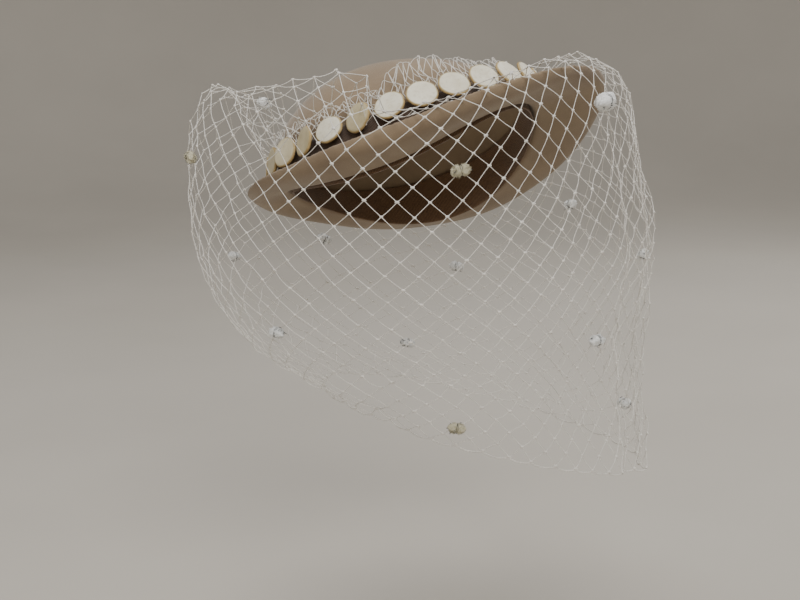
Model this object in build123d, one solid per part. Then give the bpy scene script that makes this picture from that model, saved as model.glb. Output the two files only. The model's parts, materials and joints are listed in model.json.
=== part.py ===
from build123d import *
from math import asin, cos, pi, radians, sin, tan
import os

# A small felt tilt hat with a ring of discs and a dotted net veil, posed as it is worn.
# Row frame: +Z up, -Y the way the wearer faces, +X the wearer's left, in millimetres.
# The origin is the centre of the head opening. The hat is drawn level, in its own frame,
# and then tipped; the veil hangs in the row frame.

# ---- how the hat sits ----
FRONT_UP = 23.0             # degrees that the front of the brim is raised
LEFT_DOWN = 18.8            # degrees that the wearer's left side is lowered

# ---- felt body ----
FELT = 2.4                  # felt thickness
CORNER = 3.2                # rounding inside, where the crown's wall meets the brim
BRIM_FRONT = 45.2           # brim, beyond the foot of the crown
BRIM_BACK = 24.2
BRIM_SIDES = 30.7
BRIM_DROOP = 18.3           # how far the brim's edge dips at the sides
TURN_ENDS = 4.5             # height of the turned-up edge at the front and back
TURN_SIDES = 9.5            # the same, at the sides
TURN_LEAN = 3.5             # how far the turned-up edge leans out
CROWN_LENGTH = 158.6
CROWN_WIDTH = 145.6
CROWN_SHIFT = 11.1          # crown centre, behind the origin
CROWN_HEIGHT = 55.3
CROWN_LEAN = 16.8           # how far the top of the crown sits behind its centre
FOOT_HEIGHT = 0.5           # foot of the dome, above the level of the brim's tips
FOOT_DROOP = 8.8            # how far the foot of the dome dips at the sides
BRIM_STEP = 1.0             # top of the felt beside the crown, below the level of the tips
OPENING_DROOP = 25.4        # how much further it dips at the sides
ROUNDING = 1.05             # how round the dome is, seen from above
SHOULDER = 1.1              # how full the dome is, seen from the side

# ---- bands ----
BAND_GAP = 0.4              # room for glue and stitches between a band and the felt
RIBBON_HEIGHT = 9.0
RIBBON_THICK = 0.7
SWEATBAND_RISE = 7.0        # top of the sweatband, above the foot of the dome
SWEATBAND_THICK = 0.9
SWEATBAND_PROUD = 1.5       # how far it shows below the felt

# ---- discs ----
DISC_DIAMETER = 18.6
DISC_GAP = 0.6              # least gap between one disc and the next
DISC_THICK = 2.2
DISC_TILT = 19.0            # degrees that a disc's face looks up
DISC_CLEAR = 0.9            # lowest point of a disc, above the foot of the dome
DISC_STAND_ENDS = 8.7       # disc's centre to the crown's foot, at the front and back
DISC_STAND_SIDES = 4.2      # the same, at the sides
SHANK_DIAMETER = 1.2
SHANK_DROP = 3.0            # shank, below the disc's centre
STITCH_GAP = 0.8            # slack between a stitch and what it holds

# ---- veil ----
NET_THICK = 1.0             # knots and threads, as one layer
GATHER_OUT = 1.0            # gather line, outside the lower edges of the discs
GATHER_DOWN = 2.2           # and below them
HEADER_HEIGHT = 9.0         # the bunched-up top edge of the veil
HEADER_THICK = 1.6
HEADER_LIFT = 0.8           # foot of the header, above the discs' centres
TACK_COUNT = 8
TACK_DIAMETER = 1.0
HEM_LENGTH = 206.0
HEM_WIDTH = 156.0
HEM_SHIFT = -36.0           # hem centre, in front of the origin when negative
HEM_DROP = 170.0            # hem centre, below the origin
HEM_FALL = 11.0             # degrees that the hem slopes down to the front
HEM_ROLL = 7.0              # degrees that it slopes down to the left
HEM_THREAD = 2.0
HEM_GAP = 1.5               # hem thread, below the edge of the net

# The veil's outline in four directions, as (out, up) from the top edge of the brim there.
VEIL_FRONT = [(-13, 4), (5, 2), (19, -44), (30, -90), (26, -144), (27, -202)]
VEIL_LEFT = [(-9, 7), (5, 1), (13, -26), (15, -62), (3, -100)]
VEIL_BACK = [(3, 32), (9, 60), (21, 69), (33, 52), (39, 18), (36, -22), (19, -60), (-5, -86)]
VEIL_RIGHT = [(-8, 6), (6, 1), (14, -42), (14, -88), (1, -132)]
VEIL_STEPS = 20             # bands of the net's surface, from the gather line to the hem

# ---- chenille tufts: degrees from the front towards the left, and place down the net ----
TUFT_LENGTH = 9.0
TUFT_THICK = 6.0
TUFT_GAP = 1.2
NET_TUFTS = [(165, 0.24), (-150, 0.42), (165, 0.62), (-115, 0.68), (-65, 0.29), (-30, 0.71),
             (-20, 0.25), (60, 0.27), (28, 0.52), (98, 0.46), (112, 0.74), (136, 0.50)]
HEM_TUFTS = [(-75, 0.88), (34, 0.90)]   # these are close to the hem and lift with it

# ---- sizes that follow from these ----
OPENING_DEPTH = BRIM_STEP + FELT                # head opening, below the level of the tips
LEAN = radians(DISC_TILT)
DISC_OUT = DISC_DIAMETER / 2 * sin(LEAN) + DISC_THICK / 2 * cos(LEAN)       # disc's lower edge, out
DISC_DOWN = DISC_DIAMETER / 2 * cos(LEAN) + DISC_THICK / 2 * sin(LEAN)      # and below its centre
DISC_LIFT = DISC_CLEAR + DISC_DOWN              # centre of a disc, above the foot of the dome

RING_POINTS = 24            # points that a ring's curve passes through
DOME_STEPS = 20
BRIM_STEPS = 14
THREAD_SIDES = 8


# ---- rings: every oval is a smooth curve through its front, left, back and right points ----
def around(quarters, angle):
    """Point at an angle in degrees, from the front towards the left."""
    front, left, back, right = quarters
    a = radians(angle)
    mean = (front + left + back + right) * 0.25
    saddle = (front - left + back - right) * 0.25
    return mean + (front - back) * 0.5 * cos(a) + (left - right) * 0.5 * sin(a) + saddle * cos(2 * a)


def ring_curve(quarters):
    points = [around(quarters, 360 * i / RING_POINTS) for i in range(RING_POINTS)]
    return Spline(points, periodic=True)


def oval(length, width, shift, height, droop):
    """Quarter points of an oval whose sides dip by droop."""
    low = height - droop
    return [Vector(0, shift - length / 2, height), Vector(width / 2, shift, low),
            Vector(0, shift + length / 2, height), Vector(-width / 2, shift, low)]


def moved(quarters, out, up):
    """The same oval, made larger all round by out and raised by up."""
    ways = [Vector(0, -out, up), Vector(out, 0, up), Vector(0, out, up), Vector(-out, 0, up)]
    return [point + way for point, way in zip(quarters, ways)]


def between(first, second, share):
    return [a + (b - a) * share for a, b in zip(first, second)]


def tip(thing):
    """Tip a shape, or a list of quarter points, from the level hat to the way it is worn."""
    if isinstance(thing, list):
        return [tip(item) for item in thing]
    return thing.rotate(Axis.X, -FRONT_UP).rotate(Axis.Y, LEFT_DOWN)


# ---- runs of rings, and the surfaces and solids through them ----
def smooth_run(rings, steps):
    """More rings along the smooth curves through a few."""
    lines = [Spline([ring[k] for ring in rings]) for k in range(4)]
    return [[line.position_at(i / steps) for line in lines] for i in range(steps + 1)]


def offset_run(rings, distance):
    """The run a distance to one side: above a run that goes outwards, outside one that goes down."""
    ways = [Vector(0, -1, 0), Vector(1, 0, 0), Vector(0, 1, 0), Vector(-1, 0, 0)]
    shifted = []
    for i, ring in enumerate(rings):
        before, after = rings[max(i - 1, 0)], rings[min(i + 1, len(rings) - 1)]
        run = [a - b for a, b in zip(after, before)]
        sides = [(way * -step.Z + Vector(0, 0, step.dot(way))).normalized() for way, step in zip(ways, run)]
        shifted.append([point + side * distance for point, side in zip(ring, sides)])
    return shifted


def skin(rings):
    """Faces between each ring of a run and the next."""
    curves = [ring_curve(ring) for ring in rings]
    return [Face.make_surface_from_curves(first, second) for first, second in zip(curves, curves[1:])]


def levelled(ring):
    height = sum(point.Z for point in ring) / len(ring)
    return [Vector(point.X, point.Y, height) for point in ring]


def lid(ring):
    return Face(Wire([ring_curve(ring)]))


def band(outer, inner):
    """Closed band between two runs of rings, joined along their first and last rings."""
    return Solid(Shell(skin(outer + list(reversed(inner)) + outer[:1])))


def thread_ring(centre_line, diameter):
    """Thread that follows a ring; its section has THREAD_SIDES sides."""
    turns = [2 * pi * k / THREAD_SIDES for k in range(THREAD_SIDES + 1)]
    rings = [moved(centre_line, diameter / 2 * cos(turn), diameter / 2 * sin(turn)) for turn in turns]
    return Solid(Shell(skin(rings)))


def save(name, *solids):
    shape = solids[0] if len(solids) == 1 else Compound(children=list(solids))
    export_step(shape, f"parts/{name}.step")


# ---- the level hat's rings ----
def dome_ring(up, inset=0.0):
    """Ring of the crown at a share of its height, from its foot to its top."""
    wide = cos(asin(up ** (1 / SHOULDER))) ** ROUNDING
    height = FOOT_HEIGHT * (1 - up) + (CROWN_HEIGHT - inset) * up
    return oval((CROWN_LENGTH - 2 * inset) * wide, (CROWN_WIDTH - 2 * inset) * wide,
                CROWN_SHIFT + CROWN_LEAN * up, height, FOOT_DROOP * (1 - up))


def opening_ring(inset=0.0, up=0.0):
    ring = oval(CROWN_LENGTH, CROWN_WIDTH, CROWN_SHIFT, -OPENING_DEPTH, OPENING_DROOP)
    return moved(ring, -inset, up)


def brim_ring(inset=0.0, down=0.0, droop=0.0):
    """Outer edge of the brim, or a smaller and lower oval inside it."""
    return oval(CROWN_LENGTH + BRIM_FRONT + BRIM_BACK - 2 * inset,
                CROWN_WIDTH + 2 * BRIM_SIDES - 2 * inset,
                CROWN_SHIFT + (BRIM_BACK - BRIM_FRONT) / 2, -down, BRIM_DROOP + droop)


def felt_run():
    """The felt's inner side, from near the top of the crown to the turned-up edge of the brim."""
    edge = brim_ring()
    fold = brim_ring(TURN_LEAN, TURN_ENDS, TURN_SIDES - TURN_ENDS)
    steps = [sin(k / DOME_STEPS * pi / 2) ** SHOULDER for k in range(DOME_STEPS)]
    dome = [dome_ring(up, FELT) for up in reversed(steps)]
    dome[0] = levelled(dome[0])
    corner = [opening_ring(FELT - CORNER * out, CORNER * up) for out, up in ((0, 1), (0.3, 0.3), (1, 0))]
    before_fold = moved(fold, -2 * TURN_LEAN, 0)
    brim = [corner[-1], between(corner[-1], before_fold, 0.5), before_fold,
            moved(fold, 0, TURN_ENDS / 3), edge]
    return dome + corner[:2] + smooth_run(brim, BRIM_STEPS)


def felt_body():
    """Crown and brim, blocked in one piece, with the brim's edge turned up."""
    inner = felt_run()
    outer = offset_run(inner, FELT)
    outer[0] = levelled(outer[0])
    return Solid(Shell(skin(inner + list(reversed(outer))) + [lid(inner[0]), lid(outer[0])]))


def crown_ribbon():
    """Grosgrain band round the foot of the dome, which carries the discs."""
    rise = RIBBON_HEIGHT / (CROWN_HEIGHT - FOOT_HEIGHT)

    def rings(inset):
        return [dome_ring(rise * share, inset) for share in (0, 0.5, 1)]
    return band(rings(-BAND_GAP - RIBBON_THICK), rings(-BAND_GAP))


def sweatband():
    """Band inside the head opening, a little proud of the felt below."""
    rise = SWEATBAND_RISE / (CROWN_HEIGHT - FOOT_HEIGHT)

    def rings(inset):
        middle = between(opening_ring(inset), dome_ring(0, inset), 0.5)
        return [opening_ring(inset, -SWEATBAND_PROUD), middle,
                dome_ring(0, inset), dome_ring(rise, inset)]
    return band(rings(FELT + BAND_GAP), rings(FELT + BAND_GAP + SWEATBAND_THICK))


# ---- discs ----
def disc_ring(lift=0.0):
    """Ring through the discs' centres, or the same ring further up the discs' slope."""
    ring = oval(CROWN_LENGTH + 2 * DISC_STAND_ENDS, CROWN_WIDTH + 2 * DISC_STAND_SIDES, CROWN_SHIFT,
                FOOT_HEIGHT + DISC_LIFT, FOOT_DROOP)
    return moved(ring, -lift * tan(LEAN), lift)


def crown_level(height):
    """Ring of the crown at a height above the foot of the dome."""
    return dome_ring(height / (CROWN_HEIGHT - FOOT_HEIGHT))


def disc_places():
    """Planes at even spacing round the ring of discs; their Z looks out and a little up."""
    curve = ring_curve(disc_ring())
    places = []
    count = int(curve.length / (DISC_DIAMETER + DISC_GAP))
    for k in range(count):
        distance = k / count * curve.length
        centre = curve.position_at(distance, position_mode=PositionMode.LENGTH)
        along = curve.tangent_at(distance, position_mode=PositionMode.LENGTH)
        out = along.cross(Vector(0, 0, 1)).normalized()
        places.append(Plane(centre, x_dir=along, z_dir=out * cos(LEAN) + Vector(0, 0, sin(LEAN))))
    return places


def disc(place):
    """Round cream disc, its two edges eased."""
    blank = Cylinder(DISC_DIAMETER / 2, DISC_THICK)
    return tip((place * fillet(blank.edges().filter_by(GeomType.CIRCLE), DISC_THICK / 4)).solid())


def stitch(start, ring, diameter):
    """Straight thread from a point to the nearest point of a ring, just short of it."""
    end = ring_curve(ring).closest_points(Vertex(*start))[0]
    length = (end - start).length - STITCH_GAP
    post = Plane(start, z_dir=end - start) * Cylinder(
        diameter / 2, length, align=(Align.CENTER, Align.CENTER, Align.MIN))
    return tip(post.solid())


def shank(place):
    """Thread between the back of a disc and the ribbon."""
    start = place.origin - place.y_dir * SHANK_DROP - place.z_dir * (DISC_THICK / 2 + STITCH_GAP)
    ribbon = moved(crown_level(DISC_LIFT - SHANK_DROP), BAND_GAP + RIBBON_THICK, 0)
    return stitch(start, ribbon, SHANK_DIAMETER)


# ---- veil ----
def header_ring(height, offset=0.0):
    """Ring midway between the crown and the backs of the discs."""
    ring = between(crown_level(DISC_LIFT + height), disc_ring(height), 0.5)
    return moved(ring, offset, 0)


def veil_header():
    """Bunched-up top edge of the veil, behind the discs."""
    def rings(offset):
        heights = [HEADER_LIFT + HEADER_HEIGHT * share for share in (0, 0.5, 1)]
        return [header_ring(height, offset) for height in heights]
    return tip(band(rings(HEADER_THICK / 2), rings(-HEADER_THICK / 2)))


def tacks():
    """Stitches that hold the header to the crown."""
    height = HEADER_LIFT + HEADER_HEIGHT / 2
    inner = header_ring(height, -HEADER_THICK / 2 - STITCH_GAP)
    crown = crown_level(DISC_LIFT + height)
    return [stitch(around(inner, 360 * (k + 0.5) / TACK_COUNT), crown, TACK_DIAMETER)
            for k in range(TACK_COUNT)]


def hem_ring(out=0.0, up=0.0):
    """The veil's lower edge; out and up are across it and along its own upright."""
    fall = Vector(0, cos(radians(HEM_FALL)), sin(radians(HEM_FALL)))
    side = Vector(cos(radians(HEM_ROLL)), 0, -sin(radians(HEM_ROLL)))
    centre = Vector(0, HEM_SHIFT, -HEM_DROP) + side.cross(fall).normalized() * up
    half, wide = HEM_LENGTH / 2 + out, HEM_WIDTH / 2 + out
    return [centre - fall * half, centre + side * wide, centre + fall * half, centre - side * wide]


def veil_lines():
    """Four lines down the net, at its front, left, back and right."""
    gather = tip(moved(disc_ring(), DISC_OUT + GATHER_OUT, -DISC_DOWN - GATHER_DOWN))
    edge = tip(moved(brim_ring(), 0, FELT))
    ways = [Vector(0, -1, 0), Vector(1, 0, 0), Vector(0, 1, 0), Vector(-1, 0, 0)]
    outlines = [VEIL_FRONT, VEIL_LEFT, VEIL_BACK, VEIL_RIGHT]
    lines = []
    for start, rim, way, outline, end in zip(gather, edge, ways, outlines, hem_ring()):
        points = [rim + way * out + Vector(0, 0, up) for out, up in outline]
        lines.append(Spline([start] + points + [end]))
    return lines


def veil_ring(lines, share, inward=0.0):
    """Ring of the net a share of the way down, or one just inside it."""
    quarters = [line.position_at(share) for line in lines]
    if inward:
        cross = [quarters[1] - quarters[3], quarters[2] - quarters[0]] * 2
        signs = [1, 1, -1, -1]
        for k, line in enumerate(lines):
            normal = (cross[k] * signs[k]).cross(line.tangent_at(share)).normalized()
            quarters[k] = quarters[k] - normal * inward
    return quarters


def veil_net():
    """The net as one thin layer, open at the crown and at the hem."""
    lines = veil_lines()
    shares = [k / VEIL_STEPS for k in range(VEIL_STEPS + 1)]
    return band([veil_ring(lines, share) for share in shares],
                [veil_ring(lines, share, NET_THICK) for share in shares])


def on_net(lines, angle, share):
    return around(veil_ring(lines, share), angle)


def tuft(lines, angle, share):
    """Small chenille tuft that lies on the net."""
    step = 1 / RING_POINTS
    spot = on_net(lines, angle, share)
    along = on_net(lines, angle + 1, share) - spot
    down = on_net(lines, angle, share + step / 2) - on_net(lines, angle, share - step / 2)
    out = down.cross(along)
    half = Ellipse(TUFT_LENGTH / 2, TUFT_THICK / 2) & Rectangle(
        TUFT_LENGTH, TUFT_THICK, align=(Align.CENTER, Align.MIN))
    centre = spot + out.normalized() * (TUFT_THICK / 2 + TUFT_GAP)
    return (Plane(centre, x_dir=along, z_dir=out) * revolve(half, Axis.X)).solid()


os.makedirs("parts", exist_ok=True)
save("felt_body", tip(felt_body()))
save("crown_ribbon", tip(crown_ribbon()))
save("sweatband", tip(sweatband()))
places = disc_places()
for number, place in enumerate(places, 1):
    save(f"disc_{number:02d}", disc(place))
save("disc_shanks", *[shank(place) for place in places])
save("veil_header", veil_header())
save("veil_tacks", *tacks())
save("veil_net", veil_net())
save("veil_hem", thread_ring(hem_ring(HEM_THREAD / 2, -HEM_THREAD / 2 - HEM_GAP), HEM_THREAD))
down_the_net = veil_lines()
for number, (angle, share) in enumerate(NET_TUFTS + HEM_TUFTS, 1):
    save(f"tuft_{number:02d}", tuft(down_the_net, angle, share))
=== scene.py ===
import json
from math import asin, cos, pi, radians, sin, sqrt

import bpy
import numpy as np
from mathutils import Matrix, Vector
from mathutils.bvhtree import BVHTree
from mathutils.kdtree import KDTree


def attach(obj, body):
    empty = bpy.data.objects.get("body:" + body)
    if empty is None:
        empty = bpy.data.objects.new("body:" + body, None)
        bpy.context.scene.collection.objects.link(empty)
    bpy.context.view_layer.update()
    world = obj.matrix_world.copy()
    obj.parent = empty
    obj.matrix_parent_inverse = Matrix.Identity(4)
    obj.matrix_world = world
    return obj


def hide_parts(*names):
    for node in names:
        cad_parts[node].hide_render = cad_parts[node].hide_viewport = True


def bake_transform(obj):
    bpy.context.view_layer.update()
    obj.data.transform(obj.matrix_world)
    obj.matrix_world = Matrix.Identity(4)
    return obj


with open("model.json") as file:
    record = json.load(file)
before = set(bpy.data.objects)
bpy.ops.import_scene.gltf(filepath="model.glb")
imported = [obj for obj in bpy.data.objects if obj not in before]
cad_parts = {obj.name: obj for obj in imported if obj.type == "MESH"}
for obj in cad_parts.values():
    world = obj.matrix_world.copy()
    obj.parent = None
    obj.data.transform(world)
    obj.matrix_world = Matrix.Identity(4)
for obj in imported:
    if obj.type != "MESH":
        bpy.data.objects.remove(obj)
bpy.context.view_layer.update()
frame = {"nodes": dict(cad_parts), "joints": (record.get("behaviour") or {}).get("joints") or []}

# Looks for a small felt tilt hat with a ring of discs and a dotted net veil.
# Metres, in the row frame: +Z up, -Y the way the wearer faces, +X the wearer's left.

NODES = frame["nodes"]
MM = 0.001
SEED = 41

# ---- sizes repeated from the CAD source ----
FRONT_UP, LEFT_DOWN = radians(23.0), radians(18.8)
CROWN_LENGTH, CROWN_WIDTH = 158.6 * MM, 145.6 * MM
CROWN_SHIFT, CROWN_LEAN = 11.1 * MM, 16.8 * MM
CROWN_HEIGHT, FOOT_HEIGHT, FOOT_DROOP = 55.3 * MM, 0.5 * MM, 8.8 * MM
BRIM_STEP, OPENING_DROOP = 1.0 * MM, 25.4 * MM
ROUNDING, SHOULDER = 1.05, 1.1
BRIM_FRONT, BRIM_BACK, BRIM_SIDES = 45.2 * MM, 24.2 * MM, 30.7 * MM
BRIM_DROOP = 18.3 * MM
TURN_ENDS, TURN_SIDES, TURN_LEAN = 4.5 * MM, 9.5 * MM, 3.5 * MM
FELT, BAND_GAP = 2.4 * MM, 0.4 * MM
RIBBON_HEIGHT, RIBBON_THICK = 9.0 * MM, 0.7 * MM
SWEATBAND_RISE, SWEATBAND_THICK, SWEATBAND_PROUD = 7.0 * MM, 0.9 * MM, 1.5 * MM
DISC_RADIUS, DISC_THICK, DISC_TILT, DISC_CLEAR = 9.3 * MM, 2.2 * MM, radians(19.0), 0.9 * MM
DISC_STAND_ENDS, DISC_STAND_SIDES = 8.7 * MM, 4.2 * MM
GATHER_OUT, GATHER_DOWN = 1.0 * MM, 2.2 * MM
HEADER_HEIGHT, HEADER_LIFT = 9.0 * MM, 0.8 * MM
HEM_LENGTH, HEM_WIDTH, HEM_SHIFT, HEM_DROP = 206.0 * MM, 156.0 * MM, -36.0 * MM, 170.0 * MM
HEM_FALL, HEM_ROLL = radians(11.0), radians(7.0)
VEIL_FRONT = [(-13, 4), (5, 2), (19, -44), (30, -90), (26, -144), (27, -202)]
VEIL_LEFT = [(-9, 7), (5, 1), (13, -26), (15, -62), (3, -100)]
VEIL_BACK = [(3, 32), (9, 60), (21, 69), (33, 52), (39, 18), (36, -22), (19, -60), (-5, -86)]
VEIL_RIGHT = [(-8, 6), (6, 1), (14, -42), (14, -88), (1, -132)]
OPENING_DEPTH = BRIM_STEP + FELT
DISC_OUT = DISC_RADIUS * sin(DISC_TILT) + DISC_THICK / 2 * cos(DISC_TILT)
DISC_DOWN = DISC_RADIUS * cos(DISC_TILT) + DISC_THICK / 2 * sin(DISC_TILT)
DISC_LIFT = DISC_CLEAR + DISC_DOWN

HAT = Matrix.Rotation(LEFT_DOWN, 3, "Y") @ Matrix.Rotation(-FRONT_UP, 3, "X")
HAT_ARRAY = np.array(HAT)
UP = np.array([0.0, 0.0, 1.0])
WAYS = np.array([[0, -1, 0], [1, 0, 0], [0, 1, 0], [-1, 0, 0]], float)

# ---- sizes of the looks ----
NET_COLUMNS, NET_ROWS = 48, 31
NET_EDGE = 11.8 * MM          # thread from knot to knot
NET_THREAD = 0.21 * MM        # its radius
KNOT = np.array([1.15, 0.72, 0.6]) * MM      # half-axes: across, up and out
RELAX_ROUNDS = 90
STRAND_SPREAD, STRAND_RADIUS = 0.26 * MM, 0.3 * MM      # the selvedge's two threads
HEM_TWISTS = 190
HEADER_COLUMNS, HEADER_ROWS = 168, 5
DISC_SIDES, DISC_WARP = 48, 0.12 * MM
TUFT_HALF = np.array([5.0, 3.5, 3.2]) * MM
PILE_HAIRS, STRAY_HAIRS = 230, 16
FELT_VOXEL, FELT_UNEVEN = 1.15 * MM, 0.45 * MM
FLOOR_SIDES = 96
PRESSED_DEPTH, PRESSED_WIDTH = 1.0 * MM, 1.7 * MM      # line under the turned-up edge
LOWERED = 4.5 * MM            # net between the discs and the rim, on the right
CLEAR = 0.8 * MM              # least room between the net and the felt, at rest
PUFF_START = 6.0 * MM         # net leaves the header this far above the discs' centres
PUFF_LOW, PUFF_HIGH = 7.0 * MM, 24.0 * MM
FOLD_ANGLE, FOLD_SPREAD, FOLD_PITCH, FOLD_DEPTH = -6.0, 24.0, 24.0, 5.0 * MM      # angles in degrees


# ---- rings ----
def around(quarters, angles):
    """Points of rings at angles from the front towards the left. quarters is (..., 4, 3)."""
    front, left, back, right = (quarters[..., k, :] for k in range(4))
    a = np.asarray(angles, float)[..., None]
    mean = (front + left + back + right) / 4
    saddle = (front - left + back - right) / 4
    return mean + (front - back) / 2 * np.cos(a) + (left - right) / 2 * np.sin(a) + saddle * np.cos(2 * a)


def oval(length, width, shift, height, droop):
    low = height - droop
    return np.array([[0, shift - length / 2, height], [width / 2, shift, low],
                     [0, shift + length / 2, height], [-width / 2, shift, low]], float)


def moved(quarters, out, up):
    return quarters + WAYS * out + UP * up


def tip(points):
    return np.asarray(points) @ HAT_ARRAY.T


def dome_ring(up, inset=0.0):
    wide = cos(asin(up ** (1 / SHOULDER))) ** ROUNDING
    height = FOOT_HEIGHT * (1 - up) + (CROWN_HEIGHT - inset) * up
    return oval((CROWN_LENGTH - 2 * inset) * wide, (CROWN_WIDTH - 2 * inset) * wide,
                CROWN_SHIFT + CROWN_LEAN * up, height, FOOT_DROOP * (1 - up))


def crown_level(height):
    return dome_ring(height / (CROWN_HEIGHT - FOOT_HEIGHT))


def opening_ring(inset, up=0.0):
    ring = oval(CROWN_LENGTH, CROWN_WIDTH, CROWN_SHIFT, -OPENING_DEPTH, OPENING_DROOP)
    return moved(ring, -inset, up)


def brim_ring(inset=0.0, down=0.0, droop=0.0):
    return oval(CROWN_LENGTH + BRIM_FRONT + BRIM_BACK - 2 * inset, CROWN_WIDTH + 2 * BRIM_SIDES - 2 * inset,
                CROWN_SHIFT + (BRIM_BACK - BRIM_FRONT) / 2, -down, BRIM_DROOP + droop)


def disc_ring(lift=0.0):
    ring = oval(CROWN_LENGTH + 2 * DISC_STAND_ENDS, CROWN_WIDTH + 2 * DISC_STAND_SIDES, CROWN_SHIFT,
                FOOT_HEIGHT + DISC_LIFT, FOOT_DROOP)
    return moved(ring, -lift * np.tan(DISC_TILT), lift)


def header_ring(height):
    """Ring midway between the crown and the backs of the discs."""
    return (crown_level(DISC_LIFT + height) + disc_ring(height)) / 2


def hem_ring():
    fall = np.array([0, cos(HEM_FALL), sin(HEM_FALL)])
    side = np.array([cos(HEM_ROLL), 0, -sin(HEM_ROLL)])
    centre = np.array([0, HEM_SHIFT, -HEM_DROP])
    half, wide = HEM_LENGTH / 2, HEM_WIDTH / 2
    return np.array([centre - fall * half, centre + side * wide, centre + fall * half, centre - side * wide])


def smooth_line(points, count=400):
    """Points at even spacing on the natural cubic spline through a few."""
    p = np.asarray(points, float)
    t = np.concatenate([[0], np.cumsum(np.linalg.norm(np.diff(p, axis=0), axis=1))])
    h, n = np.diff(t), len(p)
    system, right = np.eye(n), np.zeros((n, 3))
    for i in range(1, n - 1):
        system[i, i - 1:i + 2] = [h[i - 1], 2 * (h[i - 1] + h[i]), h[i]]
        right[i] = 6 * ((p[i + 1] - p[i]) / h[i] - (p[i] - p[i - 1]) / h[i - 1])
    m = np.linalg.solve(system, right)
    u = np.linspace(0, t[-1], count * 4)
    k = np.clip(np.searchsorted(t, u, side="right") - 1, 0, n - 2)
    a, b, hk = (t[k + 1] - u)[:, None], (u - t[k])[:, None], h[k][:, None]
    line = (m[k] * a ** 3 + m[k + 1] * b ** 3) / (6 * hk)
    line += (p[k] / hk - m[k] * hk / 6) * a + (p[k + 1] / hk - m[k + 1] * hk / 6) * b
    return even(line, count)


def even(line, count):
    run = np.concatenate([[0], np.cumsum(np.linalg.norm(np.diff(line, axis=0), axis=1))])
    wanted = np.linspace(0, run[-1], count)
    return np.stack([np.interp(wanted, run, line[:, k]) for k in range(3)], axis=1)


def unit(v):
    return v / np.maximum(np.linalg.norm(v, axis=-1, keepdims=True), 1e-12)


def wave(points, scale, seed):
    """Smooth noise from -1 to 1: a few random plane waves."""
    rng = np.random.default_rng(seed)
    total = np.zeros(points.shape[:-1])
    for _ in range(9):
        way = unit(rng.normal(size=3)) * 2 * pi / (scale * rng.uniform(0.7, 1.5))
        total += np.sin(points @ way + rng.uniform(0, 2 * pi))
    return total / 4


# ---- mesh making ----
class Pile:
    """Faces gathered into one mesh, with a material number and a tone for each part."""

    def __init__(self):
        self.points, self.faces, self.kinds, self.tones, self.count = [], [], [], [], 0

    def add(self, points, faces, kind=0, tone=0.0):
        points = np.asarray(points, float).reshape(-1, 3)
        faces = np.asarray(faces, int)
        self.points.append(points)
        self.faces.extend((faces + self.count).tolist())
        self.kinds.extend([kind] * len(faces))
        self.tones.append(np.broadcast_to(np.asarray(tone, float), (len(points),)))
        self.count += len(points)

    def make(self, name, materials):
        mesh = bpy.data.meshes.new(name)
        mesh.from_pydata(np.concatenate(self.points).tolist(), [], self.faces)
        for m in materials:
            mesh.materials.append(m)
        mesh.polygons.foreach_set("material_index", self.kinds)
        mesh.polygons.foreach_set("use_smooth", [True] * len(mesh.polygons))
        tone = mesh.attributes.new("tone", "FLOAT", "POINT")
        tone.data.foreach_set("value", np.concatenate(self.tones).astype(np.float32))
        mesh.update()
        thing = bpy.data.objects.new(name, mesh)
        bpy.context.scene.collection.objects.link(thing)
        return thing


def grid_faces(rows, columns, closed):
    """Quads of a grid of points, the columns joined up when closed."""
    i, j = np.meshgrid(np.arange(rows - 1), np.arange(columns if closed else columns - 1), indexing="ij")
    k = (j + 1) % columns
    return np.stack([i * columns + j, i * columns + k, (i + 1) * columns + k, (i + 1) * columns + j],
                    axis=-1).reshape(-1, 4)


def tubes(lines, normals, radius, sides=6):
    """Open tubes along many lines (count, steps, 3); radius may change along them."""
    lines = np.asarray(lines, float)
    count, steps = lines.shape[:2]
    along = unit(np.gradient(lines, axis=1))
    across = unit(np.cross(along, np.broadcast_to(np.asarray(normals, float)[:, None, :], lines.shape)))
    third = np.cross(along, across)
    turn = np.arange(sides) * 2 * pi / sides
    radius = np.broadcast_to(np.asarray(radius, float), (count, steps))[..., None, None]
    ring = across[:, :, None, :] * np.cos(turn)[:, None] + third[:, :, None, :] * np.sin(turn)[:, None]
    points = lines[:, :, None, :] + ring * radius
    one = grid_faces(steps, sides, True)
    faces = (one[None] + (np.arange(count) * steps * sides)[:, None, None]).reshape(-1, 4)
    return points.reshape(-1, 3), faces


def ball(rings=5, sides=8):
    """Unit ball of quads and end triangles, as points and two lists of faces."""
    turn = np.arange(sides) * 2 * pi / sides
    tilt = np.linspace(0, pi, rings + 2)[1:-1]
    body = np.stack([np.cos(tilt)[:, None] * np.ones(sides), np.sin(tilt)[:, None] * np.cos(turn),
                     np.sin(tilt)[:, None] * np.sin(turn)], axis=-1).reshape(-1, 3)
    points = np.concatenate([body, [[1, 0, 0], [-1, 0, 0]]])
    last = rings * sides
    caps = [[last, (k + 1) % sides, k] for k in range(sides)]
    caps += [[last + 1, last - sides + k, last - sides + (k + 1) % sides] for k in range(sides)]
    return points, grid_faces(rings, sides, True), np.array(caps)


def add_balls(pile, centres, frames):
    """Balls at centres; frames (count, 3, 3) hold each one's three half-axes as rows."""
    points, quads, caps = ball()
    centres, frames = np.asarray(centres, float), np.asarray(frames, float)
    placed = centres[:, None, :] + np.einsum("pk,nkc->npc", points, frames)
    shift = (np.arange(len(centres)) * len(points))[:, None, None]
    start = pile.count
    pile.add(placed, (quads[None] + shift).reshape(-1, 4))
    pile.faces.extend((caps[None] + shift + start).reshape(-1, 3).tolist())
    pile.kinds.extend([0] * len(caps) * len(centres))


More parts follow.
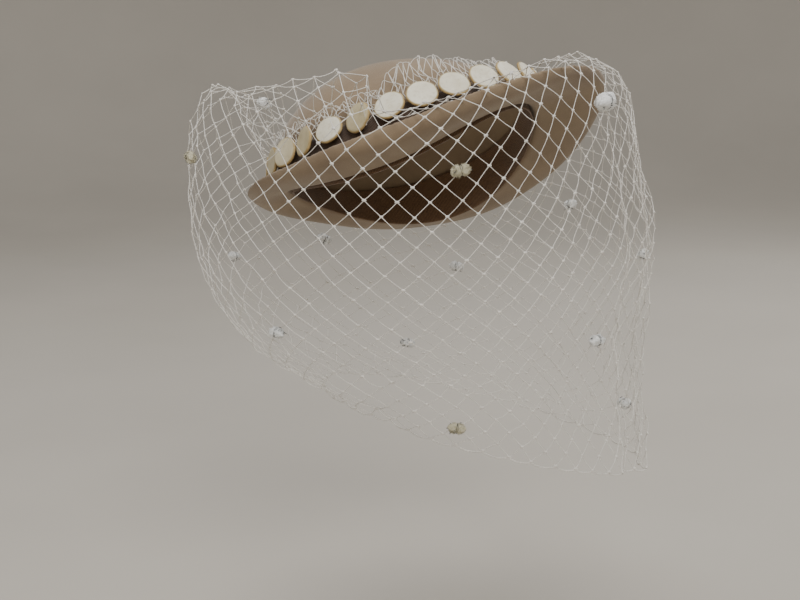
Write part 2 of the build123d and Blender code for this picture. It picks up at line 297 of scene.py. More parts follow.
# ---- materials ----
def material(name, rough, sheen=0.0, sheen_rough=0.5, specular=0.5):
    """New material, its node tree and its shader."""
    made = bpy.data.materials.new(name)
    made.use_nodes = True
    tree = made.node_tree
    shader = tree.nodes["Principled BSDF"]
    shader.inputs["Roughness"].default_value = rough
    shader.inputs["Sheen Weight"].default_value = sheen
    shader.inputs["Sheen Roughness"].default_value = sheen_rough
    shader.inputs["Specular IOR Level"].default_value = specular
    return made, tree, shader


def node(tree, kind, inputs=None, **settings):
    n = tree.nodes.new(kind)
    for key, value in settings.items():
        setattr(n, key, value)
    for key, value in (inputs or {}).items():
        if isinstance(value, bpy.types.NodeSocket):
            tree.links.new(value, n.inputs[key])
        else:
            n.inputs[key].default_value = value
    return n


def noise_of(tree, place, scale, detail=4.0, rough=0.55, distortion=0.0):
    return node(tree, "ShaderNodeTexNoise", {"Vector": place, "Scale": scale, "Detail": detail,
                                             "Roughness": rough, "Distortion": distortion}).outputs["Fac"]


def ramp(tree, factor, stops):
    n = node(tree, "ShaderNodeValToRGB", {"Fac": factor})
    while len(n.color_ramp.elements) < len(stops):
        n.color_ramp.elements.new(0.5)
    for element, (place, colour) in zip(n.color_ramp.elements, stops):
        element.position = place
        element.color = (*colour, 1)
    return n.outputs["Color"]


def mix(tree, factor, first, second, way="MIX"):
    n = node(tree, "ShaderNodeMix", data_type="RGBA", blend_type=way)
    for socket, value in ((n.inputs[0], factor), (n.inputs[6], first), (n.inputs[7], second)):
        if isinstance(value, bpy.types.NodeSocket):
            tree.links.new(value, socket)
        else:
            socket.default_value = value
    return n.outputs[2]


def maths(tree, way, *values):
    n = node(tree, "ShaderNodeMath", operation=way)
    for socket, value in zip(n.inputs, values):
        if isinstance(value, bpy.types.NodeSocket):
            tree.links.new(value, socket)
        else:
            socket.default_value = value
    return n.outputs[0]


def bump(tree, shader, height, strength, distance, before=None):
    inputs = {"Height": height, "Strength": strength, "Distance": distance}
    if before:
        inputs["Normal"] = before
    out = node(tree, "ShaderNodeBump", inputs).outputs["Normal"]
    tree.links.new(out, shader.inputs["Normal"])
    return out


def srgb(*values):
    """Linear colour from 0-255 values as they look on screen."""
    shares = [v / 255 for v in values]
    return tuple(v / 12.92 if v <= 0.04045 else ((v + 0.055) / 1.055) ** 2.4 for v in shares)


def felt_material():
    made, tree, shader = material("taupe_felt", 0.92, sheen=0.25, sheen_rough=0.45, specular=0.2)
    place = node(tree, "ShaderNodeTexCoord").outputs["Object"]
    cloud = noise_of(tree, place, 28.0, 5.0, 0.6)
    nap = noise_of(tree, place, 900.0, 6.0, 0.7, 0.6)
    drawn_out = node(tree, "ShaderNodeMapping", {"Vector": place, "Scale": (1, 2.6, 1)}).outputs[0]
    hairs = noise_of(tree, drawn_out, 2300.0, 3.0, 0.6, 1.5)
    base = ramp(tree, cloud, [(0.3, srgb(127, 109, 88)), (0.7, srgb(147, 129, 104))])
    flecked = mix(tree, maths(tree, "MULTIPLY", nap, 0.35), base, (*srgb(122, 104, 88), 1))
    lit = mix(tree, ramp(tree, hairs, [(0.62, (0, 0, 0)), (0.72, (0.35, 0.35, 0.35))]),
              flecked, (*srgb(205, 192, 170), 1))
    tree.links.new(lit, shader.inputs["Base Color"])
    first = bump(tree, shader, nap, 0.35, 0.4 * MM)
    bump(tree, shader, hairs, 0.25, 0.2 * MM, first)
    return made


def ribbed_material(name, dark, light, ribs):
    """Grosgrain: ribs stand up and down the band, as the attribute tone counts them; the colour is darker in
    the hollows between the ribs as painted shade, with the weave's random tone.
    """
    made, tree, shader = material(name, 0.62, sheen=0.25, specular=0.35)
    place = node(tree, "ShaderNodeTexCoord").outputs["Object"]
    count = node(tree, "ShaderNodeAttribute", attribute_name="tone").outputs["Fac"]
    rib = maths(tree, "SINE", maths(tree, "MULTIPLY", count, 2 * pi * ribs))
    weave = noise_of(tree, place, 1500.0, 4.0)
    # painted shade: colour darker in the rib hollows, plus random weave tone
    shade = maths(tree, "ADD", maths(tree, "MULTIPLY", rib, 0.22), weave)
    tree.links.new(ramp(tree, shade, [(0.25, dark), (0.75, light)]), shader.inputs["Base Color"])
    first = bump(tree, shader, rib, 0.6, 0.25 * MM)
    bump(tree, shader, weave, 0.3, 0.1 * MM, first)
    return made


def disc_material():
    """Cream leather: pale mottled face, tan cut edge; tone is each disc's olive tint, partly random tone and
    partly painted shade on faces turned away from the light, 2 and over its edge.
    """
    made, tree, shader = material("cream_disc", 0.5, sheen=0.08, specular=0.4)
    place = node(tree, "ShaderNodeTexCoord").outputs["Object"]
    tone = node(tree, "ShaderNodeAttribute", attribute_name="tone").outputs["Fac"]
    grain = noise_of(tree, place, 420.0, 6.0, 0.65)
    cloud = noise_of(tree, place, 90.0, 4.0, 0.6)
    pale = ramp(tree, cloud, [(0.3, srgb(214, 206, 182)), (0.7, srgb(232, 227, 208))])
    # olive face colour: the disc's own random tint, and painted shade for the faces turned away from the
    # light
    olive_tint_and_shade = ramp(tree, cloud, [(0.3, srgb(166, 150, 108)), (0.7, srgb(192, 178, 138))])
    shade = node(tree, "ShaderNodeMapRange", {"Value": tone, "From Min": 0.0, "From Max": 1.0}).outputs[0]
    face = mix(tree, shade, pale, olive_tint_and_shade)
    face = mix(tree, ramp(tree, grain, [(0.5, (0, 0, 0)), (0.66, (0.3, 0.3, 0.3))]), face,
               (*srgb(176, 158, 118), 1))
    edge = node(tree, "ShaderNodeMapRange", {"Value": tone, "From Min": 1.4, "From Max": 2.0}).outputs[0]
    tan = ramp(tree, grain, [(0.3, srgb(150, 122, 74)), (0.7, srgb(184, 160, 110))])
    tree.links.new(mix(tree, edge, face, tan), shader.inputs["Base Color"])
    first = bump(tree, shader, grain, 0.4, 0.18 * MM)
    bump(tree, shader, cloud, 0.4, 0.5 * MM, first)
    return made


def thread_material(name, dark, light, rough=0.45, scale=1300.0):
    made, tree, shader = material(name, rough, sheen=0.15, specular=0.5)
    place = node(tree, "ShaderNodeTexCoord").outputs["Object"]
    fibre = noise_of(tree, place, scale, 5.0, 0.65, 0.8)
    drift = noise_of(tree, place, 45.0, 3.0)
    both = maths(tree, "ADD", maths(tree, "MULTIPLY", fibre, 0.6), maths(tree, "MULTIPLY", drift, 0.4))
    tree.links.new(ramp(tree, both, [(0.35, dark), (0.65, light)]), shader.inputs["Base Color"])
    bump(tree, shader, fibre, 0.5, 0.12 * MM)
    return made


FELT_LOOK = felt_material()
# crown ribbon behind the discs: its dark brown is partly painted shade, taken from the shade between and
# behind the discs
RIBBON_LOOK = ribbed_material("brown_grosgrain", srgb(52, 38, 28), srgb(92, 70, 52), 620)
SWEAT_LOOK = ribbed_material("sweatband_grosgrain", srgb(70, 48, 30), srgb(128, 96, 64), 520)
DISC_LOOK = disc_material()
NET_LOOK = thread_material("ivory_net", srgb(196, 191, 182), srgb(236, 232, 223))
SEWING_LOOK = thread_material("sewing_thread", srgb(150, 134, 112), srgb(190, 174, 150))
CHENILLE_LOOK = thread_material("chenille_pile", srgb(186, 186, 182), srgb(245, 245, 242), 0.8, 700.0)
CHENILLE_TAN = thread_material("chenille_tan", srgb(150, 142, 110), srgb(206, 200, 176), 0.8, 700.0)
BINDING_LOOK = thread_material("dark_binding", srgb(30, 32, 34), srgb(74, 76, 78), 0.6)


# ---- felt body ----
def felt():
    source = NODES["felt_body"]
    thing = bpy.data.objects.new("felt_hat", source.data.copy())
    bpy.context.scene.collection.objects.link(thing)
    for name, kind, settings in (
            ("remesh", "REMESH", {"mode": "VOXEL", "voxel_size": FELT_VOXEL, "use_smooth_shade": True}),
            ("soften", "SMOOTH", {"factor": 0.5, "iterations": 7})):
        modifier = thing.modifiers.new(name, kind)
        for key, value in settings.items():
            setattr(modifier, key, value)
    apply_modifiers(thing)
    points = np.array([v.co for v in thing.data.vertices])
    level = points @ HAT_ARRAY
    uneven = np.stack([wave(level, 55 * MM, 5 + k) for k in range(3)], axis=1) * FELT_UNEVEN
    normals = np.array([v.normal for v in thing.data.vertices])
    fold = moved(brim_ring(TURN_LEAN, TURN_ENDS, TURN_SIDES - TURN_ENDS), FELT, -FELT / 4)
    line = around(fold, np.linspace(0, 2 * pi, 721))
    tree = KDTree(len(line))
    for k, p in enumerate(line):
        tree.insert(p, k)
    tree.balance()
    away = np.array([tree.find(p)[2] for p in level])
    pressed = normals * (PRESSED_DEPTH * np.exp(-(away / PRESSED_WIDTH) ** 2))[:, None]
    thing.data.vertices.foreach_set("co", (points + uneven - pressed).ravel())
    thing.data.materials.clear()
    thing.data.materials.append(FELT_LOOK)
    thing.data.update()
    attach(thing, "hat")
    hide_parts("felt_body")
    return thing


def apply_modifiers(thing):
    mesh = bpy.data.meshes.new_from_object(thing.evaluated_get(bpy.context.evaluated_depsgraph_get()))
    thing.modifiers.clear()
    thing.data = mesh


# ---- ribbon and sweatband ----
def band_piece(name, node_name, rings, thick, look, steps=480):
    """Woven band through rings of quarter points, with a bound edge top and bottom."""
    angles = np.arange(steps) * 2 * pi / steps
    side = np.stack([around(tip(ring), angles) for ring in rings])
    along = unit(np.roll(side, -1, 1) - np.roll(side, 1, 1))
    down = unit(np.gradient(side, axis=0))
    out = unit(np.cross(along, down))
    centre = side.mean(axis=(0, 1))
    out *= np.sign(np.sum(out * (side - centre), axis=-1, keepdims=True))
    swell = np.ones(len(rings))
    swell[[0, 1, -2, -1]] = [0.7, 1.25, 1.25, 0.7]
    swell = swell[:, None, None] * thick / 2
    both = np.concatenate([side + out * swell, (side - out * swell)[::-1]])
    both = np.concatenate([both, both[:1]])
    pile = Pile()
    pile.add(both, grid_faces(len(both), steps, True), 0, np.tile(angles / (2 * pi), len(both)))
    thing = pile.make(name, [look])
    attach(thing, "hat")
    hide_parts(node_name)


def bands():
    rise = RIBBON_HEIGHT / (CROWN_HEIGHT - FOOT_HEIGHT)
    inset = -BAND_GAP - RIBBON_THICK / 2
    shares = (0.02, 0.08, 0.16, 0.3, 0.5, 0.7, 0.84, 0.92, 0.98)
    band_piece("crown_grosgrain", "crown_ribbon", [dome_ring(rise * s, inset) for s in shares],
               RIBBON_THICK, RIBBON_LOOK)
    inset = FELT + BAND_GAP + SWEATBAND_THICK / 2
    low, foot = opening_ring(inset, -SWEATBAND_PROUD), dome_ring(0, inset)
    top = dome_ring(SWEATBAND_RISE / (CROWN_HEIGHT - FOOT_HEIGHT), inset)
    rings = [low + (foot - low) * s for s in (0.01, 0.05, 0.12, 0.3, 0.5, 0.75)]
    rings += [foot + (top - foot) * s for s in (0, 0.3, 0.6, 0.85, 0.93, 0.99)]
    band_piece("sweatband_ribbon", "sweatband", rings, SWEATBAND_THICK, SWEAT_LOOK)


# ---- discs ----
# These, at the back on the right, are turned further: (swing towards the front, how dark the face is
# painted, as painted shade on a face turned away from the light).
TURNED = {"disc_17": (0.05, 0.7), "disc_18": (0.26, 0.6), "disc_19": (-0.22, 0.85), "disc_20": (0.05, 0.0),
          "disc_21": (-0.3, 0.8)}


def discs():
    """Each leather disc a little out of round, dished and turned its own way."""
    rng = np.random.default_rng(SEED)
    profile = [(0.0, 0.5), (0.25, 0.5), (0.5, 0.49), (0.72, 0.47), (0.88, 0.42), (0.955, 0.3), (0.99, 0.12),
               (1.0, -0.08), (0.985, -0.28), (0.94, -0.42), (0.8, -0.47), (0.5, -0.48), (0.0, -0.48)]
    sides = DISC_SIDES
    turn = np.arange(sides) * 2 * pi / sides
    for name in sorted(n for n in NODES if n.startswith("disc_") and n[5:].isdigit()):
        points = np.array([v.co for v in NODES[name].data.vertices])
        centre = (points.min(0) + points.max(0)) / 2
        spread = np.linalg.eigh(np.cov((points - centre).T))
        out = spread[1][:, 0]
        out *= np.sign(np.dot(out, centre - tip([0, CROWN_SHIFT, 0])))
        across = unit(np.cross(tip(UP), out))
        high = np.cross(out, across)
        lean, swing = rng.normal(0, 0.05), rng.normal(0, 0.07)
        # random olive tint of each disc; the turned discs below get painted shade instead
        shade = np.clip(rng.normal(0.08, 0.12), 0, 0.5)
        if name in TURNED:
            swing, shade = TURNED[name]
        out = unit(out + high * lean + across * swing)
        across = unit(np.cross(tip(UP), out))
        high = np.cross(out, across)
        phase = rng.uniform(0, 2 * pi)
        out_of_round = rng.uniform(0.01, 0.035)
        dish = rng.uniform(-0.25, 0.4) * MM
        radius = DISC_RADIUS * (1 - out_of_round + out_of_round * np.cos(2 * (turn - phase)))
        radius *= 1 + 0.008 * np.cos(5 * turn + phase) + 0.006 * np.cos(9 * turn - phase)
        rows, tones = [], []
        for share, height in profile:
            wide = radius * max(share, 0.001)
            warp = DISC_WARP * np.cos(2 * turn + phase) * share ** 2
            lift = height * DISC_THICK + dish * (share ** 2 - 0.5) + warp
            rows.append(centre + across * (wide * np.cos(turn))[:, None]
                        + high * (wide * np.sin(turn))[:, None] + out * lift[:, None])
            tones.append(np.full(sides, shade if height > 0.35 else 2.0))
        pile = Pile()
        pile.add(np.concatenate(rows), grid_faces(len(rows), sides, True), 0, np.concatenate(tones))
        thing = pile.make("leather_" + name, [DISC_LOOK])
        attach(thing, "hat")
        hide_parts(name)


# ---- the net ----
def veil_lines():
    gather = tip(moved(disc_ring(), DISC_OUT + GATHER_OUT, -DISC_DOWN - GATHER_DOWN))
    edge = tip(moved(brim_ring(), 0, FELT))
    lines = []
    outlines = (VEIL_FRONT, VEIL_LEFT, VEIL_BACK, VEIL_RIGHT)
    for start, rim, way, outline, end in zip(gather, edge, WAYS, outlines, hem_ring()):
        points = [start] + [rim + way * out * MM + UP * up * MM for out, up in outline] + [end]
        lines.append(smooth_line(points))
    return np.stack(lines, axis=1)


def step(value, start, end):
    """0 before start, 1 after end, and smooth between them."""
    t = np.clip((value - start) / (end - start), 0, 1)
    return t * t * (3 - 2 * t)


def puff_share(degrees):
    """1 where the net rises from behind the discs and puffs out over them, at the back."""
    return step(degrees, 100, 150) * (1 - step(degrees, 262, 274))


def veil_surface(rows=140, columns=360):
    """Grid of points on the veil: rows from the gather line to the hem, columns round it."""
    lines = veil_lines()
    picked = lines[np.linspace(0, len(lines) - 1, rows).round().astype(int)]
    angles = np.arange(columns) * 2 * pi / columns
    degrees = np.degrees(angles)
    grid = np.stack([around(row, angles) for row in picked])
    share = np.linspace(0, 1, rows)[:, None]
    behind = tip(around(header_ring(PUFF_START), angles))
    out = unit((grid[0] - tip([0, CROWN_SHIFT, 0])) * [1, 1, 0])
    rise = PUFF_LOW + (PUFF_HIGH - PUFF_LOW) * step(degrees, 190, 238)
    start = (1 - np.clip(share / 0.26, 0, 1)) ** 2
    swell = step(share, 0, 0.1) * (1 - step(share, 0.1, 0.36))
    puff = puff_share(degrees)[None, :, None]
    lifted = (behind - grid[0])[None] * start[..., None] + UP * (swell * rise)[..., None]
    grid = grid + puff * lifted
    near = step(degrees, 270, 282) * (1 - step(degrees, 335, 352))
    grid = grid - UP * (near * step(share, 0, 0.05) * (1 - step(share, 0.05, 0.15)) * LOWERED)[..., None]
    turned = (degrees + 180) % 360 - 180
    fold = np.exp(-((turned - FOLD_ANGLE) / FOLD_SPREAD) ** 2) * np.cos(2 * pi * turned / FOLD_PITCH)
    depth = step(share, 0.2, 0.5) * FOLD_DEPTH
    return grid + out[None] * (fold * depth)[..., None]


def relaxed_net(surface):
    """Knots of the net, slid over the surface until its threads are about as long as each other."""
    rows, columns = surface.shape[:2]
    tree = BVHTree.FromPolygons(surface.reshape(-1, 3).tolist(), grid_faces(rows, columns, True).tolist())
    i, j = np.meshgrid(np.arange(NET_ROWS + 1), np.arange(NET_COLUMNS), indexing="ij")
    turn = (j + 0.5 * (i % 2)) / NET_COLUMNS
    turn = turn - 0.035 * np.sin(2 * pi * turn)
    col = (turn * columns) % columns
    low = np.floor(col).astype(int) % columns
    share = (col - np.floor(col))[..., None]
    r = (i / NET_ROWS * (rows - 1)).round().astype(int)
    knots = surface[r, low] * (1 - share) + surface[r, (low + 1) % columns] * share
    first, second = net_edges()
    flat = knots.reshape(-1, 3)
    top, bottom = surface[0], surface[-1]
    ends = [(np.arange(NET_COLUMNS), dense_ring(top)),
            (np.arange(NET_COLUMNS) + NET_ROWS * NET_COLUMNS, dense_ring(bottom))]
    neighbours = np.zeros(len(flat))
    np.add.at(neighbours, first, 1)
    np.add.at(neighbours, second, 1)
    for _ in range(RELAX_ROUNDS):
        gap = flat[second] - flat[first]
        length = np.linalg.norm(gap, axis=1, keepdims=True)
        pull = gap / length * np.clip(length - NET_EDGE, -6 * MM, 6 * MM) * 0.5
        shift = np.zeros_like(flat)
        np.add.at(shift, first, pull)
        np.add.at(shift, second, -pull)
        mean = np.zeros_like(flat)
        np.add.at(mean, first, flat[second])
        np.add.at(mean, second, flat[first])
        flat = flat + shift / neighbours[:, None] + (mean / neighbours[:, None] - flat) * 0.12
        for picked, ring in ends:
            distance = np.linalg.norm(flat[picked][:, None, :] - ring[None], axis=2)
            flat[picked] = ring[distance.argmin(axis=1)]
        inner = np.arange(NET_COLUMNS, len(flat) - NET_COLUMNS)
        flat[inner] = [tuple(tree.find_nearest(p)[0]) for p in flat[inner].tolist()]
    normals = np.array([tuple(tree.find_nearest(p)[1]) for p in flat.tolist()])
    centre = surface.mean(axis=(0, 1))
    normals *= np.sign(np.median(np.sum(normals * (flat - centre), axis=1)))
    return flat, normals


def dense_ring(ring, count=2400):
    closed = np.concatenate([ring, ring[:1]])
    return even(closed, count)


def net_edges():
    """Pairs of knots that a thread joins."""
    first, second = [], []
    for i in range(NET_ROWS):
        for j in range(NET_COLUMNS):
            here = i * NET_COLUMNS + j
            other = (j + (1 if i % 2 else -1)) % NET_COLUMNS
            first += [here, here]
            second += [(i + 1) * NET_COLUMNS + j, (i + 1) * NET_COLUMNS + other]
    return np.array(first), np.array(second)


def net(surface):
    """Knotted diamond net, gathered at the crown and open at the hem."""
    flat, normals = relaxed_net(surface)
    rng = np.random.default_rng(SEED + 1)
    stiff = wave(flat, 34 * MM, 77)[:, None]
    depth = np.clip(np.arange(len(flat)) // NET_COLUMNS / 5, 0, 1)[:, None]
    flat = flat + normals * (stiff * 1.6 + rng.normal(0, 0.35, (len(flat), 1))) * MM * depth
    flat = kept_clear(flat)
    first, second = net_edges()
    steps = 5
    share = np.linspace(0, 1, steps)[None, :, None]
    bend = rng.normal(0, 0.25, (len(first), 1, 1)) * MM
    bow = np.sin(pi * share) * (normals[first] + normals[second])[:, None, :] * bend
    sag = np.sin(pi * share) * -UP * rng.uniform(0.0, 0.5, (len(first), 1, 1)) * MM
    lines = flat[first][:, None, :] * (1 - share) + flat[second][:, None, :] * share + bow + sag
    lines = kept_clear(lines.reshape(-1, 3)).reshape(lines.shape)
    radius = NET_THREAD * (1 + 0.35 * np.abs(2 * share[..., 0] - 1) ** 6)
    pile = Pile()
    pile.add(*tubes(lines, normals[first], np.broadcast_to(radius, (len(first), steps))))
    across = knot_ways(flat, normals)
    high = np.cross(normals, across)
    grow = rng.uniform(0.85, 1.2, (len(flat), 1))
    frames = np.stack([across * KNOT[0] * grow, high * KNOT[1] * grow, normals * KNOT[2] * grow], axis=1)
    add_balls(pile, flat, frames)
    thing = pile.make("knotted_net", [NET_LOOK])
    return thing, flat, normals


def kept_clear(points):
    """Points moved out of the felt hat, or away from it where they are too near. Discs aren't looked at."""
    mesh = FELT_HAT.data
    tree = BVHTree.FromPolygons([v.co for v in mesh.vertices], [p.vertices for p in mesh.polygons])
    moved_points = points.copy()
    for k, p in enumerate(points):
        found, normal, _, _ = tree.find_nearest(p, 6 * MM)
        if found is None:
            continue
        gap = (Vector(p) - found).dot(normal)
        if gap < CLEAR:
            moved_points[k] = found + normal * CLEAR
    return moved_points


def knot_ways(flat, normals):
    grid = flat.reshape(NET_ROWS + 1, NET_COLUMNS, 3)
    way = np.roll(grid, -1, 1) - np.roll(grid, 1, 1)
    way = way.reshape(-1, 3)
    way -= normals * np.sum(way * normals, axis=1, keepdims=True)
    return unit(way)


AXIS = np.array(frame["joints"][0]["axis"])
LIFT_START, LIFT_END = -10 * MM, float(hem_ring()[0] @ AXIS)


def lift_share(point):
    t = np.clip((np.dot(point, AXIS) - LIFT_START) / (LIFT_END - LIFT_START), 0, 1)
    return t * t * (3 - 2 * t)


def blend_net(thing):
    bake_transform(thing)


def blend_dot(thing, centre):
    """Works out how much the net lifts at the dot's centre; the dot itself is only baked in place, not
    lifted.
    """
    wanted, low, high = lift_share(centre), 0.0, 1.0
    for _ in range(40):
        middle = (low + high) / 2
        if middle * middle * (3 - 2 * middle) < wanted:
            low = middle
        else:
            high = middle
    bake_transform(thing)


# ---- header, hem and tufts ----
def header():
    """Top edge of the net, bunched up behind the discs: short crossing threads and loops."""
    rng = np.random.default_rng(SEED + 2)
    columns, rows = HEADER_COLUMNS, HEADER_ROWS
    angles = np.arange(columns) * 2 * pi / columns
    grid = []
    for i in range(rows):
        height = HEADER_LIFT + (HEADER_HEIGHT + 1.5 * MM) * i / (rows - 1)
        turn = angles + (0.5 * (i % 2) + rng.normal(0, 0.45, columns)) * 2 * pi / columns
        points = around(header_ring(height), turn)
        degrees = np.degrees(turn) % 360
        crest = step(degrees, 278, 290) * (9 - 7 * step(degrees, 292, 335)) * (1 - step(degrees, 340, 359))
        points += tip_free_up(points) * (crest * MM * i / (rows - 1))[:, None]
        away = unit(points - np.array([0, CROWN_SHIFT, 0])) * [1, 1, 0]
        points = points + away * rng.normal(0.3, 0.8, (columns, 1)) * MM
        points[:, 2] += rng.normal(0, 0.7, columns) * MM
        if i == rows - 1:
            points[:, 2] += (2.2 * np.abs(np.sin(angles * 11)) + 1.3 * np.sin(angles * 5 + 1)) * MM
        grid.append(tip(points))
    grid = np.array(grid)
    out = unit(grid - tip([0, CROWN_SHIFT, 0]))
    lines, normals = [], []
    for i in range(rows - 1):
        for j in range(columns):
            for other in (j, (j + (1 if i % 2 else -1)) % columns):
                a, b = grid[i, j], grid[i + 1, other]
                middle = (a + b) / 2 + out[i, j] * rng.normal(0, 0.5) * MM
                lines.append(bent(a, middle, b))
                normals.append(out[i, j])
    for j in range(columns):
        a, b = grid[-1, j], grid[-1, (j + 1) % columns]
        middle = (a + b) / 2 + tip(UP) * rng.uniform(0.5, 1.6) * MM
        lines.append(bent(a, middle, b))
        normals.append(out[-1, j])
    pile = Pile()
    pile.add(*tubes(np.array(lines), np.array(normals), NET_THREAD * 0.95, 5))
    thing = pile.make("net_header", [NET_LOOK])
    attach(thing, "hat")
    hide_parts("veil_header")
    return thing


def tip_free_up(points):
    """Up, leaning in with the discs towards the crown, for points of the level hat."""
    inward = unit((np.array([0, CROWN_SHIFT, 0]) - points) * [1, 1, 0])
    return UP + inward * np.tan(DISC_TILT)


def bent(a, middle, b, steps=5):
    t = np.linspace(0, 1, steps)[:, None]
    control = 2 * middle - (a + b) / 2
    return a * (1 - t) ** 2 + control * 2 * t * (1 - t) + b * t ** 2


def hem(flat):
    """Selvedge of the net: two twisted threads that scallop from knot to knot."""
    last = flat[-NET_COLUMNS:]
    upright = unit(AXIS)
    lines = []
    for a, b in zip(last, np.roll(last, -1, axis=0)):
        middle = (a + b) / 2 - upright * np.linalg.norm(b - a) * 0.1
        lines.append(bent(a, middle, b, 13)[:-1])
    path = np.concatenate(lines) - upright * 0.6 * MM
    path = even(np.concatenate([path, path[:1]]), 1601)[:-1]
    along = unit(np.roll(path, -1, 0) - np.roll(path, 1, 0))
    side = unit(np.cross(along, upright))
    turn = np.arange(len(path)) * 2 * pi * HEM_TWISTS / len(path)
    pile = Pile()
    for phase in (0, pi):
        twist = side * np.cos(turn + phase)[:, None] + upright * np.sin(turn + phase)[:, None]
        strand = path + twist * STRAND_SPREAD
        ring = np.arange(6) * 2 * pi / 6
        section = (side[:, None, :] * np.cos(ring)[:, None]
                   + np.cross(along, side)[:, None, :] * np.sin(ring)[:, None])
        points = strand[:, None, :] + section * STRAND_RADIUS
        rows = np.concatenate([points, points[:1]])
        pile.add(rows, grid_faces(len(rows), 6, True))
    thing = pile.make("net_selvedge", [NET_LOOK])
    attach(thing, "veil_edge")
    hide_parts("veil_hem")
    return thing


LARGE_TUFT = "tuft_07"
TAN_TUFTS = ("tuft_02", "tuft_05", "tuft_13")


def tuft(name, number, knots, normals):
    """Chenille dot: a fluffy pad of pile bound across with dark thread, on the nearest knot."""
    rng = np.random.default_rng(SEED + 10 + number)
    points = np.array([v.co for v in NODES[name].data.vertices])
    centre = (points.min(0) + points.max(0)) / 2
    nearest = np.linalg.norm(knots - centre, axis=1).argmin()
    centre = knots[nearest] + normals[nearest] * 1.6 * MM
    spread = np.linalg.eigh(np.cov((points - centre).T))[1]
    long = spread[:, 2]
    side, high = spread[:, 1], np.cross(spread[:, 2], spread[:, 1])
    half = TUFT_HALF * rng.uniform(0.9, 1.1) * (1.5 if name == LARGE_TUFT else 1)
    pile = Pile()
    shape, quads, caps = ball(22, 30)
    axes = np.stack([long, side, high])
    rough = 1 + 0.13 * wave(shape, 0.9, number + 3) + 0.06 * wave(shape, 0.35, number + 9)
    waist = 1 - 0.24 * np.exp(-(shape[:, 0] / 0.16) ** 2)
    body = shape * rough[:, None]
    body[:, 1:] *= waist[:, None]
    start = pile.count
    pile.add(centre + (body * half) @ axes, quads)
    pile.faces.extend((caps + start).tolist())
    pile.kinds.extend([0] * len(caps))
    ways = unit(rng.normal(size=(260, 3)) * [1.0, 1, 1])
    ways = ways[np.abs(ways[:, 0]) > 0.16][:PILE_HAIRS]
    roots = ways * half * 0.9
    curl = unit(rng.normal(size=ways.shape)) * 0.5
    tips = roots + unit(ways + curl) * rng.uniform(0.5, 1.5, (len(ways), 1)) * MM
    middle = (roots + tips) / 2 + curl * 0.3 * MM
    lines = np.stack([roots, middle, tips], axis=1) @ axes + centre
    thin = np.array([0.16, 0.12, 0.03]) * MM
    pile.add(*tubes(lines, ways[:, [1, 2, 0]] @ axes, np.broadcast_to(thin, (len(ways), 3)), 3))
    turn = np.linspace(0, 2 * pi * 2.3, 71)
    drift = (turn / (2 * pi) - 1.1) * 0.5 + 0.35 * np.sin(turn * 1.7 + number)
    deep = 0.84 + 0.07 * np.sin(turn * 2.3 + number)
    loop = np.stack([drift * MM, np.cos(turn) * half[1] * deep, np.sin(turn) * half[2] * deep], axis=1)
    pile.add(*tubes((loop @ axes + centre)[None], long[None], 0.13 * MM, 5), 1)
    side_way = rng.choice([-1, 1])
    for _ in range(STRAY_HAIRS):
        spot = unit(rng.normal(size=3) + [side_way * 0.7, 0, 0.5]) * half * 0.97
        stray = np.stack([spot, spot + rng.normal(0, 0.45, 3) * MM, spot + rng.normal(0, 0.8, 3) * MM])
        pile.add(*tubes((stray @ axes + centre)[None], long[None], rng.uniform(0.1, 0.26) * MM, 4), 1)
    looks = [CHENILLE_TAN if name in TAN_TUFTS else CHENILLE_LOOK, BINDING_LOOK]
    thing = pile.make("chenille_" + name[-2:], looks)
    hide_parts(name)
    if name in ("tuft_13", "tuft_14"):
        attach(thing, "veil_edge")
    else:
        blend_dot(thing, centre)
    return thing


def dress_cad_thread():
    for name in ("disc_shanks", "veil_tacks"):
        mesh = NODES[name].data
        mesh.materials.clear()
        mesh.materials.append(SEWING_LOOK)
        for p in mesh.polygons:
            p.material_index = 0


FELT_HAT = felt()
bands()
discs()
dress_cad_thread()
surface = veil_surface()
net_piece, knots, knot_normals = net(surface)
blend_net(net_piece)
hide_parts("veil_net")
header_piece = header()
hem_piece = hem(knots)
tuft_names = sorted(n for n in NODES if n.startswith("tuft_"))
tufts = [tuft(name, k, knots, knot_normals) for k, name in enumerate(tuft_names)]


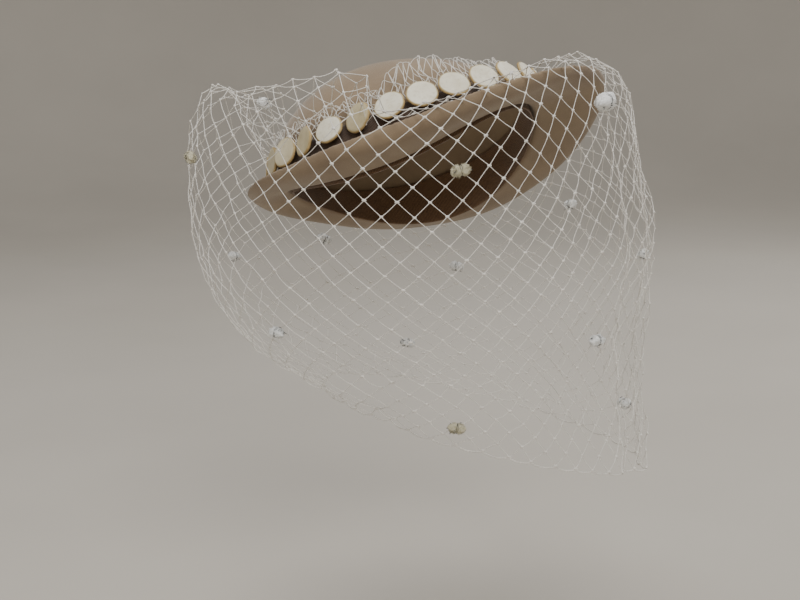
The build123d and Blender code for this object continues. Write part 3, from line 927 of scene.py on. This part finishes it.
# ---- the set ----
def floor():
    """Pale round floor whose rim curves up all round, so that it is behind the hat in every view."""
    profile = [(0.0, 0.0), (0.9, 0.0), (1.6, 0.0), (2.15, 0.07), (2.5, 0.36), (2.62, 0.9), (2.65, 1.7)]
    line = smooth_line([(a, 0, b) for a, b in profile], 40)
    turn = -np.arange(FLOOR_SIDES) * 2 * pi / FLOOR_SIDES
    circle = np.stack([np.cos(turn), np.sin(turn), np.zeros(FLOOR_SIDES)], axis=1)
    points = np.stack([FLOOR + circle * p[0] + UP * p[2] for p in line[1:]])
    pile = Pile()
    pile.add(points, grid_faces(len(points), FLOOR_SIDES, True))
    pile.faces.append(list(range(FLOOR_SIDES))[::-1])
    pile.kinds.append(0)
    made, tree, shader = material("pale_floor", 0.9, specular=0.1)
    place = node(tree, "ShaderNodeTexCoord").outputs["Object"]
    pale = ramp(tree, noise_of(tree, place, 3.0), [(0.3, srgb(184, 178, 168)), (0.7, srgb(190, 184, 174))])
    tree.links.new(pale, shader.inputs["Base Color"])
    pile.make("floor", [made])


def lamp(name, place, power, size, aim=(0, -0.02, -0.06), colour=(1, 1, 1)):
    light = bpy.data.lights.new(name, "AREA")
    light.energy, light.size, light.color = power, size, colour
    thing = bpy.data.objects.new(name, light)
    bpy.context.scene.collection.objects.link(thing)
    thing.location = place
    thing.rotation_euler = (Vector(aim) - Vector(place)).to_track_quat("-Z", "Y").to_euler()


VIEW_AZIMUTH, VIEW_ELEVATION, VIEW_DISTANCE = radians(-70), radians(12), 0.9
BACK = np.array([sin(VIEW_AZIMUTH) * cos(VIEW_ELEVATION), -cos(VIEW_AZIMUTH) * cos(VIEW_ELEVATION),
                 sin(VIEW_ELEVATION)])
RIGHT = np.array([cos(VIEW_AZIMUTH), sin(VIEW_AZIMUTH), 0])
AIM = np.array([0, 0, -0.105]) - RIGHT * 0.0162 + np.cross(RIGHT, -BACK) * 0.0073
FLOOR = np.array([0, 0, -0.315])

camera = bpy.data.objects.new("camera", bpy.data.cameras.new("camera"))
bpy.context.scene.collection.objects.link(camera)
camera.data.sensor_width, camera.data.lens = 36, 65.3
camera.location = AIM + BACK * VIEW_DISTANCE
camera.rotation_euler = Vector(-BACK).to_track_quat("-Z", "Y").to_euler()
bpy.context.scene.camera = camera

floor()
lamp("key", (-1.3, -0.9, 1.35), 30, 0.9)
lamp("fill", (-1.7, 0.5, 0.7), 8, 1.4)
lamp("top", (0.1, 0.2, 1.8), 20, 1.2)
lamp("rim", (1.3, -0.6, 0.7), 9, 1.0)
world = bpy.data.worlds.new("studio")
world.use_nodes = True
world.node_tree.nodes["Background"].inputs["Color"].default_value = (*srgb(226, 224, 222), 1)
world.node_tree.nodes["Background"].inputs["Strength"].default_value = 0.24
bpy.context.scene.world = world
